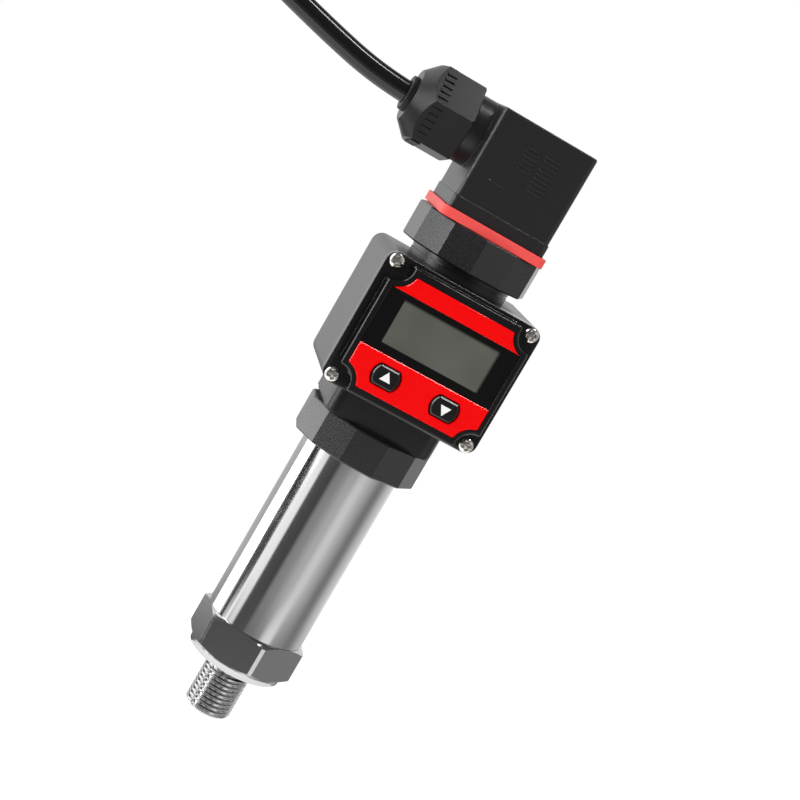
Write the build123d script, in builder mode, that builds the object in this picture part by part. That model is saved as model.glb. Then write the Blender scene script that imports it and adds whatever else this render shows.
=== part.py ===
from build123d import *
from math import cos, pi, radians, sin, tan
import os

os.makedirs("parts", exist_ok=True)

# A pressure transmitter with a rotatable display head and a square cable plug.
# All sizes are in millimetres. The origin is the centre of the collar's sealing face,
# +Z runs up the sensor's axis, the display looks towards -Y and the cable leaves to -X.

# Pipe thread and hexagon of the process port
thread_r = 13.157 / 2
thread_l = 16.0
thread_chamfer = 1.1
relief_r = 5.6
relief_l = 2.4
collar_r = 13.5
collar_t = 2.2
collar_edge = 0.3
hex_af = 28.0
hex_t = 10.0
hex_turned_r = 15.85
hex_land_r = 14.15
hex_bevel = 30
hex_turn = 38.0
inlet_r = 1.75

# Measuring cell inside the port
cavity_r = 9.6
cavity_z = 5.0
cell_seal_w = 2.0
cell_seal_t = 0.8
cell_t = 5.0
pin_r = 0.25
pin_l = 3.1
pin_circle_r = 3.0
retainer_w = 3.0
retainer_t = 3.0
spanner_slot_w = 2.0
spanner_slot_d = 1.2

# Sensor tube
tube_r = 14.0
tube_wall = 1.2
tube_visible = 53.3
tube_in_base = 4.5
tube_seal_t = 0.9
spigot_l = 4.0

# Electronics in the tube
carrier_t = 3.0
board_w = 20.0
board_t = 1.6
board_seat = 1.7
board_in_base = 2.4
chip_w = 8.0
chip_t = 1.2
driver_w = 5.0
driver_h = 4.0
driver_x = 4.0
chip_pitch = 12.0
capacitor_r = 3.0
capacitor_t = 5.0
flex_t = 0.3
flex_w = 4.0
flex_pad_r = 4.5
flex_up = 9.8

# Twelve-sided bases of the two plug connections
base_sides = 12
base_af = 35.0
base_t = 9.9
base_edge = 0.35
lower_turn = 10.7
upper_turn = -5.0
base_plug_l = 3.9
blade_w = 6.3
blade_t = 0.8
blade_circle_r = 9.0
blade_count = 4
blade_seat = 9.0
blade_tip = 0.25
lower_blade_up = 10.0
upper_blade_up = 9.6
screw_r = 1.5

# Neck between the lower base and the display head
neck_gasket_t = 0.8
neck_w = 31.6
neck_d = 29.0
neck_r = 4.0
neck_h = 7.1
neck_gasket_inset = 0.5
neck_wall = 3.2
insert_gap = 0.4
insert_flange_w = 27.0
insert_flange_t = 1.2
insert_top_t = 1.2
neck_screw_bite = 8.0

# Display housing and its cover
housing_w = 44.9
housing_h = 37.0
housing_r = 3.0
housing_wall = 2.3
back_y = 14.5
back_edge = 3.2
housing_d = 33.2
flange_t = 2.5
flange_edge = 0.4
plateau_inset_x = 2.25
plateau_inset_z = 1.05
plateau_rise = 5.4
plateau_arc_r = 4.2
plateau_edge = 0.5
plateau_cusp = 0.6
cover_wall = 1.6
face_wall = 2.6
boss_r = 14.25
boss_h = 3.2
boss_groove_w = 0.5
boss_groove_d = 0.4
boss_groove_up = 1.7
cover_gasket_w = 1.0
cover_gasket_t = 0.8

# Screws of the cover
screw_inset_x = 2.75
screw_inset_z = 2.15
cover_head_r = 2.0
cover_head_t = 0.95
cover_head_edge = 0.45
cover_shaft_r = 1.0
cover_screw_l = 11.0
cross_w = 0.5
cross_l = 2.3
cross_d = 0.5
cross_turn = 20.0
post_r = 3.4

# Label, window and liquid crystal display
label_inset_x = 1.5
label_inset_z = 2.05
label_arc_r = 5.6
label_t = 0.5
label_recess = 0.35
strip_h = 4.5
panel_h = 10.5
window_inset = 0.15
window_t = 1.2
window_sunk = 0.45
opening_inset_x = 3.55
opening_inset_z = 0.7
lcd_lap = 0.8
lcd_t = 2.6
frame_lap = 1.5
board_margin = 0.7
board_behind_seam = 1.2

# Posts that carry the display board
low_post_r = 2.0
low_post_inset = 4.1
high_post_r = 1.5
high_post_x = 9.0
board_screw_r = 0.8
board_screw_bite = 5.0
board_head_r = 1.4
board_head_t = 1.0

# Buttons and the switches behind them
button_above_edge = 5.4
button_r = 3.7
button_flat = 2.65
button_proud = 0.75
button_edge = 0.45
button_flange_w = 9.6
button_flange_h = 7.4
button_flange_t = 1.0
button_stem_r = 1.3
button_travel = 0.5
switch_w = 6.0
switch_t = 3.5
stem_entry = 0.6
stem_room = 0.9

# Lock nut of the upper base
spigot_r = 10.0
spigot_wall = 1.6
spigot_out = 0.5
locknut_t = 3.0
locknut_slot = 2.0
locknut_slots = 4

# Square cable plug
profile_w = 30.4
profile_r = 1.8
profile_t = 2.6
profile_gap = 0.6
skirt_w = 28.3
skirt_r = 1.6
skirt_h = 3.4
shell_w = 27.7
shell_r = 1.5
shell_h = 28.3
shell_edge = 0.6
shell_wall = 1.95
shell_top = 2.5
block_h = 16.6
terminal_circle_r = 11.6
terminal_r = 1.5
terminal_l = 4.6
terminal_proud = 0.6
fixing_post_r = 5.2
fixing_bore_r = 3.6
fixing_bore_d = 3.0
fixing_head_r = 2.9
fixing_head_t = 2.0
fixing_seal_t = 0.6
fixing_bite = 7.5
slot_w = 0.8
slot_d = 0.8

# Cable gland on the plug's left side
gland_up = 19.0
gland_boss_r = 9.25
gland_boss_l = 4.35
gland_thread_r = 8.0
gland_thread_l = 8.8
gland_bore_r = 6.4
gland_bore_l = 7.0
gland_way_r = 4.5
washer_t = 1.0
washer_hole_r = 3.6
nut_af = 20.4
nut_corner_r = 11.8
nut_turn = 8.5
nut_gap = 0.2
nut_body_l = 10.9
nut_cone_l = 4.8
nut_rim_r = 7.0
nut_edge = 0.4
nut_mouth_r = 4.9
nut_shoulder_l = 3.1
rib_count = 5
rib_w = 0.9
rib_pitch = 1.9
rib_l = 2.7
rib_proud = 0.35
seal_lip_out = 1.4

# Cable, its cores, and the coil of its spare length
cable_r = 3.0
cable_start = 2.5
cable_inner_x = -10.0
core_r = 0.6
core_pitch = 1.6
core_drop_x = -7.6
core_bend_r = 1.5
loom_wire_r = 0.7
loom_places = ((-5.0, 3.0), (0.0, 5.5), (5.0, 3.0))
coil_x = -156.0
coil_z = 46.0
coil_r = 33.0
coil_layers = 2
coil_rows = 3
coil_slack = 0.2
tie_w = 4.0
tie_t = 1.0
tie_head = 5.0
bare_core_l = 9.0
bare_core_r = 0.75
cable_route = (
    (-43.0, 0.0, 155.0),
    (-62.0, 0.0, 158.9),
    (-89.0, 0.0, 166.0),
    (-116.0, 0.0, 161.5),
    (-136.0, 0.3, 146.0),
    (-144.0, 1.0, 124.0),
    (-142.0, 2.4, 102.0),
    (-132.4, 4.4, 79.8),
    (-123.6, 5.8, 61.8),
)
tail_route = (
    (-127.0, 6.5, 60.0),
    (-124.8, 11.5, 46.0),
    (-125.4, 12.4, 30.0),
    (-124.6, 12.0, 14.0),
)

# Clearances
fit = 0.1
slide_fit = 0.3
hole_fit = 0.2
screw_fit = 0.05

# Heights, from the sealing face up
hex_z0 = collar_t
hex_z1 = hex_z0 + hex_t
spigot_z1 = hex_z1 + spigot_l
lower_z0 = hex_z1 + tube_visible
lower_z1 = lower_z0 + base_t
neck_z0 = lower_z1 + neck_gasket_t
housing_z0 = neck_z0 + neck_h
housing_z1 = housing_z0 + housing_h
head_z = housing_z0 + housing_h / 2
floor_z = housing_z0 + housing_wall
ceiling_z = housing_z1 - housing_wall
upper_z0 = housing_z1 + boss_h
upper_z1 = upper_z0 + base_t
shell_z0 = upper_z1 + profile_t
shell_z1 = shell_z0 + shell_h
gland_z = shell_z0 + gland_up

# Depths, the viewer being towards -Y
back_inner_y = back_y - housing_wall
seam_y = back_y - housing_d
border_y = seam_y - flange_t
bezel_y = border_y - plateau_rise
inner_y = bezel_y + face_wall
recess_y = bezel_y + label_recess
window_y = bezel_y + window_sunk
window_back_y = window_y + window_t

display_board_y = seam_y + board_behind_seam

# Display head, from the housing's outline inwards
cavity_w = housing_w - 2 * housing_wall
cavity_h = housing_h - 2 * housing_wall
plateau_w = housing_w - 2 * plateau_inset_x
plateau_h = housing_h - 2 * plateau_inset_z
label_w = plateau_w - 2 * label_inset_x
label_h = plateau_h - 2 * label_inset_z
label_top = head_z + label_h / 2
label_bottom = head_z - label_h / 2
window_w = label_w - 2 * window_inset
window_h = label_h - strip_h - panel_h - 2 * fit
window_z = label_bottom + panel_h + fit + window_h / 2
lcd_opening_w = window_w - 2 * opening_inset_x
lcd_opening_h = window_h - 2 * opening_inset_z
lcd_w = lcd_opening_w + 2 * lcd_lap
lcd_h = lcd_opening_h + 2 * lcd_lap
screw_x = housing_w / 2 - screw_inset_x
screw_z = housing_h / 2 - screw_inset_z
low_post_x = screw_x - low_post_inset
low_post_z = head_z - screw_z + low_post_inset
high_post_z = head_z + plateau_h / 2 - cover_wall - high_post_r + fit
button_x = low_post_x - low_post_r - slide_fit - button_flange_w / 2
button_z = label_bottom + button_above_edge

cover_screws_at = [(sx * screw_x, head_z + sz * screw_z) for sx in (-1, 1) for sz in (-1, 1)]
low_posts_at = [(sx * low_post_x, low_post_z) for sx in (-1, 1)]
high_posts_at = [(sx * high_post_x, high_post_z) for sx in (-1, 1)]
buttons_at = [(-button_x, button_z), (button_x, button_z)]


def front(y):
    """A plane that faces the viewer at depth y; local x is X and local y is Z."""
    return Plane.XZ.offset(-y)


def level(z):
    """A horizontal plane at height z."""
    return Plane.XY.offset(z)


def gland(x):
    """A plane across the gland's axis at x; it faces -X, and local y is Z."""
    return Plane(origin=(x, 0, gland_z), x_dir=(0, -1, 0), z_dir=(-1, 0, 0))


def barrel(radius, flat):
    """Outline of a button: a circle with a flat above and a flat below."""
    with BuildSketch() as outline:
        Circle(radius)
        Rectangle(2 * radius, 2 * flat, mode=Mode.INTERSECT)
    return outline.sketch


def notched(width, height, arc_r):
    """Outline of a plate that makes way for the four cover screws, drawn about the axis."""
    with BuildSketch() as outline:
        with Locations((0, head_z)):
            Rectangle(width, height)
        with Locations(*cover_screws_at):
            Circle(arc_r, mode=Mode.SUBTRACT)
    return outline.sketch


def finish(built, label):
    """Names a finished piece and writes it."""
    built.part.label = label
    export_step(built.part, f"parts/{label}.step")


button_hole = barrel(button_r + slide_fit, button_flat + slide_fit)
cavity_outline = notched(cavity_w, cavity_h, post_r)
rebate_w = cavity_w + 2 * cover_gasket_w
rebate_h = cavity_h + 2 * cover_gasket_w
rebate_post_r = post_r - cover_gasket_w
rebate_outline = notched(rebate_w, rebate_h, rebate_post_r)
label_outline = notched(label_w, label_h, label_arc_r)

# Process port: thread, sealing collar, hexagon and tube seat, turned from one bar
bevel_h = (hex_turned_r - hex_land_r) * tan(radians(hex_bevel))
port_spigot_r = tube_r - tube_wall - fit
with BuildPart() as process_port:
    with BuildSketch(level(hex_z0)):
        RegularPolygon(hex_af / 2, 6, major_radius=False, rotation=hex_turn)
    extrude(amount=hex_t)
    with BuildSketch(Plane.XZ):
        with BuildLine():
            Polyline(
                (0, hex_z0),
                (hex_land_r, hex_z0),
                (hex_turned_r, hex_z0 + bevel_h),
                (hex_turned_r, hex_z1 - bevel_h),
                (hex_land_r, hex_z1),
                (0, hex_z1),
                close=True,
            )
        make_face()
    revolve(axis=Axis.Z, mode=Mode.INTERSECT)
    with BuildSketch(Plane.XZ):
        with BuildLine():
            Polyline(
                (0, -thread_l),
                (thread_r - thread_chamfer, -thread_l),
                (thread_r, thread_chamfer - thread_l),
                (thread_r, -relief_l),
                (relief_r, -relief_l),
                (relief_r, 0),
                (collar_r - collar_edge, 0),
                (collar_r, collar_edge),
                (collar_r, hex_z0),
                (port_spigot_r, hex_z0),
                (port_spigot_r, spigot_z1),
                (0, spigot_z1),
                close=True,
            )
        make_face()
    revolve(axis=Axis.Z)
    with BuildSketch(level(cavity_z)):
        Circle(cavity_r)
    extrude(amount=spigot_z1 - cavity_z, mode=Mode.SUBTRACT)
    with BuildSketch(level(-thread_l)):
        Circle(inlet_r)
    extrude(amount=thread_l + cavity_z, mode=Mode.SUBTRACT)
finish(process_port, "process_port")

# Flat seal under the measuring cell
cell_r = cavity_r - fit
cell_z0 = cavity_z + cell_seal_t
cell_z1 = cell_z0 + cell_t
with BuildPart() as cell_seal:
    with BuildSketch(level(cavity_z)):
        Circle(cell_r)
        Circle(cell_r - cell_seal_w, mode=Mode.SUBTRACT)
    extrude(amount=cell_seal_t)
finish(cell_seal, "cell_seal")

# Ceramic measuring cell with its four contact pins
with BuildPart() as sensor_cell:
    with BuildSketch(level(cell_z0)):
        Circle(cell_r)
    extrude(amount=cell_t)
    with BuildSketch(level(cell_z1)):
        with PolarLocations(pin_circle_r, 4):
            Circle(pin_r)
    extrude(amount=pin_l)
finish(sensor_cell, "sensor_cell")

# Threaded ring that clamps the cell
retainer_z1 = cell_z1 + retainer_t
with BuildPart() as cell_retainer:
    with BuildSketch(level(cell_z1)):
        Circle(cell_r)
        Circle(cell_r - retainer_w, mode=Mode.SUBTRACT)
    extrude(amount=retainer_t)
    with BuildSketch(level(retainer_z1)):
        Rectangle(2 * cavity_r, spanner_slot_w)
    extrude(amount=-spanner_slot_d, mode=Mode.SUBTRACT)
finish(cell_retainer, "cell_retainer")

# Flexible print from the pins up to the board
flex_z0 = cell_z1 + pin_l
with BuildPart() as sensor_flex:
    with BuildSketch(level(flex_z0)):
        Circle(flex_pad_r)
    extrude(amount=flex_t)
    with BuildSketch(level(flex_z0)):
        with Locations((0, board_t / 2 + flex_t / 2)):
            Rectangle(flex_w, flex_t)
    extrude(amount=flex_up)
finish(sensor_flex, "sensor_flex")

# Disc that holds the board's lower end on the port
carrier_z1 = spigot_z1 + carrier_t
board_z0 = carrier_z1 - board_seat
with BuildPart() as board_carrier:
    with BuildSketch(level(spigot_z1)):
        Circle(port_spigot_r)
    extrude(amount=carrier_t)
    with BuildSketch(level(board_z0)):
        Rectangle(board_w + 2 * hole_fit, board_t + 2 * hole_fit)
    extrude(amount=board_seat, mode=Mode.SUBTRACT)
    with BuildSketch(level(spigot_z1)):
        with Locations((0, board_t / 2 + flex_t)):
            Rectangle(flex_w + 2 * slide_fit, 4 * flex_t)
    extrude(amount=carrier_t, mode=Mode.SUBTRACT)
finish(board_carrier, "board_carrier")

# Signal board with its larger components
plug_z0 = lower_z0 - base_plug_l
board_z1 = plug_z0 + board_in_base
board_mid_z = (board_z0 + board_z1) / 2
with BuildPart() as signal_board:
    with BuildSketch(front(board_t / 2)):
        with Locations((0, board_mid_z)):
            Rectangle(board_w, board_z1 - board_z0)
    extrude(amount=board_t)
    with BuildSketch(front(-board_t / 2)):
        with Locations((0, board_mid_z)):
            Rectangle(chip_w, chip_w)
        with Locations(*[(sx * driver_x, board_mid_z + chip_pitch) for sx in (-1, 1)]):
            Rectangle(driver_w, driver_h)
    extrude(amount=chip_t)
    with BuildSketch(front(-board_t / 2)):
        with Locations((0, board_mid_z - chip_pitch)):
            Circle(capacitor_r)
    extrude(amount=capacitor_t)
finish(signal_board, "signal_board")

# Sensor tube, thin stainless steel
tube_z1 = lower_z0 + tube_in_base
with BuildPart() as sensor_tube:
    with BuildSketch(level(hex_z1)):
        Circle(tube_r)
        Circle(tube_r - tube_wall, mode=Mode.SUBTRACT)
    extrude(amount=tube_z1 - hex_z1)
finish(sensor_tube, "sensor_tube")

# Seal in the base's groove, above the tube's end
with BuildPart() as tube_seal:
    with BuildSketch(level(tube_z1)):
        Circle(tube_r)
        Circle(tube_r - tube_wall, mode=Mode.SUBTRACT)
    extrude(amount=tube_seal_t)
finish(tube_seal, "tube_seal")

# Lower twelve-sided base: closes the tube and carries four blades
blade_hole_w = blade_w + 2 * screw_fit
blade_hole_t = blade_t + 2 * screw_fit
with BuildPart() as lower_base:
    with BuildSketch(level(lower_z0)):
        RegularPolygon(base_af / 2, base_sides, major_radius=False, rotation=lower_turn)
    extrude(amount=base_t)
    chamfer(lower_base.faces().filter_by(Axis.Z).edges(), length=base_edge)
    with BuildSketch(level(plug_z0)):
        Circle(port_spigot_r)
    extrude(amount=base_plug_l)
    with BuildSketch(level(lower_z0)):
        Circle(tube_r + fit)
        Circle(port_spigot_r, mode=Mode.SUBTRACT)
    extrude(amount=tube_in_base + tube_seal_t, mode=Mode.SUBTRACT)
    with BuildSketch(level(plug_z0)):
        Rectangle(board_w + 2 * hole_fit, board_t + 2 * hole_fit)
    extrude(amount=board_in_base, mode=Mode.SUBTRACT)
    with BuildSketch(level(lower_z1)):
        with PolarLocations(blade_circle_r, blade_count):
            Rectangle(blade_hole_t, blade_hole_w)
        Circle(screw_r + screw_fit)
    extrude(amount=-blade_seat, mode=Mode.SUBTRACT)
finish(lower_base, "lower_base")

# Blades of the lower base
with BuildPart() as lower_blades:
    with BuildSketch(level(lower_z1 - blade_seat)):
        with PolarLocations(blade_circle_r, blade_count):
            Rectangle(blade_t, blade_w)
    extrude(amount=blade_seat + lower_blade_up)
    chamfer(lower_blades.faces().sort_by(Axis.Z)[-blade_count:].edges(), length=blade_tip)
finish(lower_blades, "lower_blades")

# Flat gasket under the neck
neck_hole_w = neck_w - 2 * neck_wall
neck_hole_d = neck_d - 2 * neck_wall
with BuildPart() as neck_gasket:
    with BuildSketch(level(lower_z1)):
        RectangleRounded(neck_w, neck_d, neck_r)
        offset(amount=-neck_gasket_inset)
        Rectangle(neck_hole_w, neck_hole_d, mode=Mode.SUBTRACT)
    extrude(amount=neck_gasket_t)
finish(neck_gasket, "neck_gasket")

# Display housing: one moulding with neck, box and upper boss
with BuildPart() as display_housing:
    with BuildSketch(front(back_y)):
        with Locations((0, head_z)):
            RectangleRounded(housing_w, housing_h, housing_r)
    extrude(amount=housing_d)
    fillet(display_housing.faces().sort_by(Axis.Y)[-1].edges(), radius=back_edge)
    with BuildSketch(level(neck_z0)):
        RectangleRounded(neck_w, neck_d, neck_r)
    extrude(amount=neck_h + housing_wall)
    with BuildSketch(level(ceiling_z)):
        Circle(boss_r)
    extrude(amount=housing_wall + boss_h)
    with BuildSketch(Plane.XZ):
        with Locations((boss_r, housing_z1 + boss_groove_up)):
            Rectangle(2 * boss_groove_d, boss_groove_w)
    revolve(axis=Axis.Z, mode=Mode.SUBTRACT)
    with BuildSketch(front(back_inner_y)):
        add(cavity_outline)
    extrude(amount=housing_d, mode=Mode.SUBTRACT)
    with BuildSketch(front(seam_y)):
        add(rebate_outline)
    extrude(amount=-cover_gasket_t, mode=Mode.SUBTRACT)
    with BuildSketch(level(neck_z0)):
        Rectangle(neck_hole_w, neck_hole_d)
    extrude(amount=neck_h + housing_wall, mode=Mode.SUBTRACT)
    with BuildSketch(level(ceiling_z)):
        Circle(spigot_r + hole_fit)
    extrude(amount=housing_wall + boss_h, mode=Mode.SUBTRACT)
    with BuildSketch(front(seam_y)):
        with Locations(*cover_screws_at):
            Circle(cover_shaft_r + screw_fit)
    extrude(amount=-cover_screw_l, mode=Mode.SUBTRACT)
finish(display_housing, "display_housing")

# Contact insert that plugs onto the lower blades
insert_flange_d = 2 * (back_inner_y - fit)
insert_z0 = neck_z0 + insert_gap
insert_z1 = floor_z + insert_flange_t + insert_top_t
with BuildPart() as neck_insert:
    with BuildSketch(level(insert_z0)):
        Rectangle(neck_hole_w - 2 * hole_fit, neck_hole_d - 2 * hole_fit)
    extrude(amount=insert_z1 - insert_z0)
    with BuildSketch(level(floor_z)):
        Rectangle(insert_flange_w, insert_flange_d)
    extrude(amount=insert_flange_t)
    with BuildSketch(level(insert_z0)):
        with PolarLocations(blade_circle_r, blade_count):
            Rectangle(blade_t + 2 * hole_fit, blade_w + 2 * hole_fit)
    extrude(amount=lower_z1 + lower_blade_up + fit - insert_z0, mode=Mode.SUBTRACT)
    with BuildSketch(level(insert_z0)):
        Circle(screw_r + hole_fit)
    extrude(amount=insert_z1 - insert_z0, mode=Mode.SUBTRACT)
finish(neck_insert, "neck_insert")

# Screw that draws the insert down onto the lower base
with BuildPart() as neck_screw:
    with BuildSketch(level(insert_z1)):
        Circle(fixing_head_r)
    extrude(amount=fixing_head_t)
    with BuildSketch(level(insert_z1 + fixing_head_t)):
        Rectangle(2 * fixing_head_r, slot_w)
    extrude(amount=-slot_d, mode=Mode.SUBTRACT)
    with BuildSketch(level(insert_z1)):
        Circle(screw_r)
    extrude(amount=lower_z1 - neck_screw_bite - insert_z1)
finish(neck_screw, "neck_screw")

# Gasket in the housing's rebate, under the cover
with BuildPart() as cover_gasket:
    with BuildSketch(front(seam_y)):
        add(notched(rebate_w - 2 * fit, rebate_h - 2 * fit, rebate_post_r + fit))
        add(cavity_outline, mode=Mode.SUBTRACT)
    extrude(amount=-cover_gasket_t)
finish(cover_gasket, "cover_gasket")

# Display cover: flange on the housing and a raised bezel that clears the screws
with BuildPart() as display_cover:
    with BuildSketch(front(seam_y)):
        with Locations((0, head_z)):
            RectangleRounded(housing_w, housing_h, housing_r)
    extrude(amount=flange_t)
    fillet(display_cover.faces().sort_by(Axis.Y)[0].edges(), radius=flange_edge)
    with BuildSketch(front(border_y)):
        add(notched(plateau_w, plateau_h, plateau_arc_r))
    extrude(amount=plateau_rise)
    fillet(display_cover.edges().filter_by(Axis.Y).group_by(Axis.Y)[0], radius=plateau_cusp)
    fillet(display_cover.faces().sort_by(Axis.Y)[0].edges(), radius=plateau_edge)
    with BuildSketch(front(seam_y)):
        add(notched(plateau_w - 2 * cover_wall, plateau_h - 2 * cover_wall, plateau_arc_r + cover_wall))
        with Locations(*low_posts_at):
            Circle(low_post_r, mode=Mode.SUBTRACT)
        with Locations(*high_posts_at):
            Circle(high_post_r, mode=Mode.SUBTRACT)
    extrude(amount=seam_y - inner_y, mode=Mode.SUBTRACT)
    with BuildSketch(front(display_board_y)):
        with Locations(*low_posts_at):
            Circle(low_post_r)
        with Locations(*high_posts_at):
            Circle(high_post_r)
    extrude(amount=display_board_y - inner_y)
    with BuildSketch(front(display_board_y)):
        with Locations(*low_posts_at, *high_posts_at):
            Circle(board_screw_r + screw_fit)
    extrude(amount=board_screw_bite, mode=Mode.SUBTRACT)
    with BuildSketch(front(recess_y)):
        add(notched(label_w + 2 * fit, label_h + 2 * fit, label_arc_r - fit))
    extrude(amount=label_recess, mode=Mode.SUBTRACT)
    with BuildSketch(front(window_back_y)):
        with Locations((0, window_z)):
            Rectangle(window_w + 2 * fit, window_h + 2 * fit)
    extrude(amount=window_t + label_recess, mode=Mode.SUBTRACT)
    with BuildSketch(front(inner_y)):
        with Locations((0, window_z)):
            Rectangle(lcd_opening_w, lcd_opening_h)
        with Locations(*buttons_at):
            add(button_hole)
    extrude(amount=face_wall, mode=Mode.SUBTRACT)
    with BuildSketch(front(seam_y)):
        with Locations(*cover_screws_at):
            Circle(cover_shaft_r + fit)
    extrude(amount=flange_t, mode=Mode.SUBTRACT)
finish(display_cover, "display_cover")

# Red strip above the window and red panel below it, one foil each
with BuildPart() as upper_label:
    with BuildSketch(front(recess_y)):
        add(label_outline)
        with Locations((0, label_top - strip_h / 2)):
            Rectangle(label_w, strip_h, mode=Mode.INTERSECT)
    extrude(amount=label_t)
finish(upper_label, "upper_label")

with BuildPart() as lower_label:
    with BuildSketch(front(recess_y)):
        add(label_outline)
        with Locations((0, label_bottom + panel_h / 2)):
            Rectangle(label_w, panel_h, mode=Mode.INTERSECT)
        with Locations(*buttons_at):
            add(button_hole, mode=Mode.SUBTRACT)
    extrude(amount=label_t)
finish(lower_label, "lower_label")

# Clear window over the display, printed black round its edge
with BuildPart() as window:
    with BuildSketch(front(window_back_y)):
        with Locations((0, window_z)):
            Rectangle(window_w, window_h)
    extrude(amount=window_t)
finish(window, "window")

# Liquid crystal panel behind the window
lcd_y = inner_y + lcd_t
with BuildPart() as lcd_panel:
    with BuildSketch(front(lcd_y)):
        with Locations((0, window_z)):
            Rectangle(lcd_w, lcd_h)
    extrude(amount=lcd_t)
finish(lcd_panel, "lcd_panel")

# Frame that holds the panel off the board
with BuildPart() as lcd_frame:
    with BuildSketch(front(display_board_y)):
        with Locations((0, window_z)):
            Rectangle(lcd_w, lcd_h)
            Rectangle(lcd_w - 2 * frame_lap, lcd_h - 2 * frame_lap, mode=Mode.SUBTRACT)
    extrude(amount=display_board_y - lcd_y)
finish(lcd_frame, "lcd_frame")

# Display board, cut back round the cover's screw posts
with BuildPart() as display_board:
    with BuildSketch(front(display_board_y + board_t)):
        add(notched(cavity_w - 2 * board_margin, cavity_h - 2 * board_margin, post_r + board_margin))
        with Locations(*low_posts_at, *high_posts_at):
            Circle(board_screw_r + fit, mode=Mode.SUBTRACT)
    extrude(amount=board_t)
finish(display_board, "display_board")

# Screws that hold the display board to the cover's posts
with BuildPart() as board_screws:
    with BuildSketch(front(display_board_y + board_t)):
        with Locations(*low_posts_at, *high_posts_at):
            Circle(board_screw_r)
    extrude(amount=board_t + board_screw_bite - hole_fit)
    with BuildSketch(front(display_board_y + board_t + board_head_t)):
        with Locations(*low_posts_at, *high_posts_at):
            Circle(board_head_r)
    extrude(amount=board_head_t)
finish(board_screws, "board_screws")

# Key switches on the display board
with BuildPart() as key_switches:
    with BuildSketch(front(display_board_y)):
        with Locations(*buttons_at):
            Rectangle(switch_w, switch_w)
    extrude(amount=switch_t)
    with BuildSketch(front(display_board_y - switch_t)):
        with Locations(*buttons_at):
            Circle(button_stem_r + 2 * slide_fit)
    extrude(amount=-(stem_entry + button_travel + stem_room), mode=Mode.SUBTRACT)
finish(key_switches, "key_switches")

# The two buttons: cap, flange behind the cover's wall, and stem into the switch
button_flange_y = inner_y + slide_fit
stem_end_y = display_board_y - switch_t + stem_entry
for button_label, button_at in zip(("button_up", "button_down"), buttons_at):
    with BuildPart() as button:
        with BuildSketch(front(button_flange_y)):
            with Locations(button_at):
                add(barrel(button_r, button_flat))
        extrude(amount=button_flange_y - bezel_y + button_proud)
        chamfer(button.faces().sort_by(Axis.Y)[0].edges(), length=button_edge)
        with BuildSketch(front(button_flange_y)):
            with Locations(button_at):
                Rectangle(button_flange_w, button_flange_h)
        extrude(amount=-button_flange_t)
        with BuildSketch(front(button_flange_y + button_flange_t)):
            with Locations(button_at):
                Circle(button_stem_r)
        extrude(amount=button_flange_y + button_flange_t - stem_end_y)
    finish(button, button_label)

# Four cover screws with domed cross-slot heads
with BuildPart() as cover_screws:
    with BuildSketch(front(border_y)):
        with Locations(*cover_screws_at):
            Circle(cover_head_r)
    extrude(amount=cover_head_t)
    fillet(cover_screws.faces().sort_by(Axis.Y)[:4].edges(), radius=cover_head_edge)
    with BuildSketch(front(border_y - cover_head_t)):
        with Locations(*cover_screws_at):
            Rectangle(cross_l, cross_w, rotation=cross_turn)
            Rectangle(cross_w, cross_l, rotation=cross_turn)
    extrude(amount=-cross_d, mode=Mode.SUBTRACT)
    with BuildSketch(front(border_y)):
        with Locations(*cover_screws_at):
            Circle(cover_shaft_r)
    extrude(amount=-(flange_t + cover_screw_l - hole_fit))
finish(cover_screws, "cover_screws")

# Slotted ring nut that holds the upper base in the housing
locknut_r = back_inner_y - hole_fit
with BuildPart() as base_locknut:
    with BuildSketch(level(ceiling_z)):
        Circle(locknut_r)
        Circle(spigot_r + screw_fit, mode=Mode.SUBTRACT)
        with PolarLocations(locknut_r, locknut_slots, start_angle=45):
            Rectangle(locknut_slot, locknut_slot, mode=Mode.SUBTRACT)
    extrude(amount=-locknut_t)
finish(base_locknut, "base_locknut")

# Upper twelve-sided base with its hollow threaded spigot
with BuildPart() as upper_base:
    with BuildSketch(level(upper_z0)):
        RegularPolygon(base_af / 2, base_sides, major_radius=False, rotation=upper_turn)
    extrude(amount=base_t)
    chamfer(upper_base.faces().filter_by(Axis.Z).edges(), length=base_edge)
    with BuildSketch(level(ceiling_z - locknut_t - spigot_out)):
        Circle(spigot_r)
        Circle(spigot_r - spigot_wall, mode=Mode.SUBTRACT)
    extrude(amount=upper_z0 - ceiling_z + locknut_t + spigot_out)
    with BuildSketch(level(upper_z1)):
        with PolarLocations(blade_circle_r, blade_count):
            Rectangle(blade_hole_t, blade_hole_w)
        Circle(screw_r + screw_fit)
    extrude(amount=-blade_seat, mode=Mode.SUBTRACT)
finish(upper_base, "upper_base")

# Blades of the upper base
with BuildPart() as upper_blades:
    with BuildSketch(level(upper_z1 - blade_seat)):
        with PolarLocations(blade_circle_r, blade_count):
            Rectangle(blade_t, blade_w)
    extrude(amount=blade_seat + upper_blade_up)
    chamfer(upper_blades.faces().sort_by(Axis.Z)[-blade_count:].edges(), length=blade_tip)
finish(upper_blades, "upper_blades")

# Red profile gasket under the plug, open for the terminal block
plug_cavity_w = shell_w - 2 * shell_wall
block_w = plug_cavity_w - 2 * hole_fit
profile_inner_w = block_w + 2 * profile_gap
with BuildPart() as profile_gasket:
    with BuildSketch(level(upper_z1)):
        RectangleRounded(profile_w, profile_w, profile_r)
        Rectangle(profile_inner_w, profile_inner_w, mode=Mode.SUBTRACT)
    extrude(amount=profile_t)
finish(profile_gasket, "profile_gasket")

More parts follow.
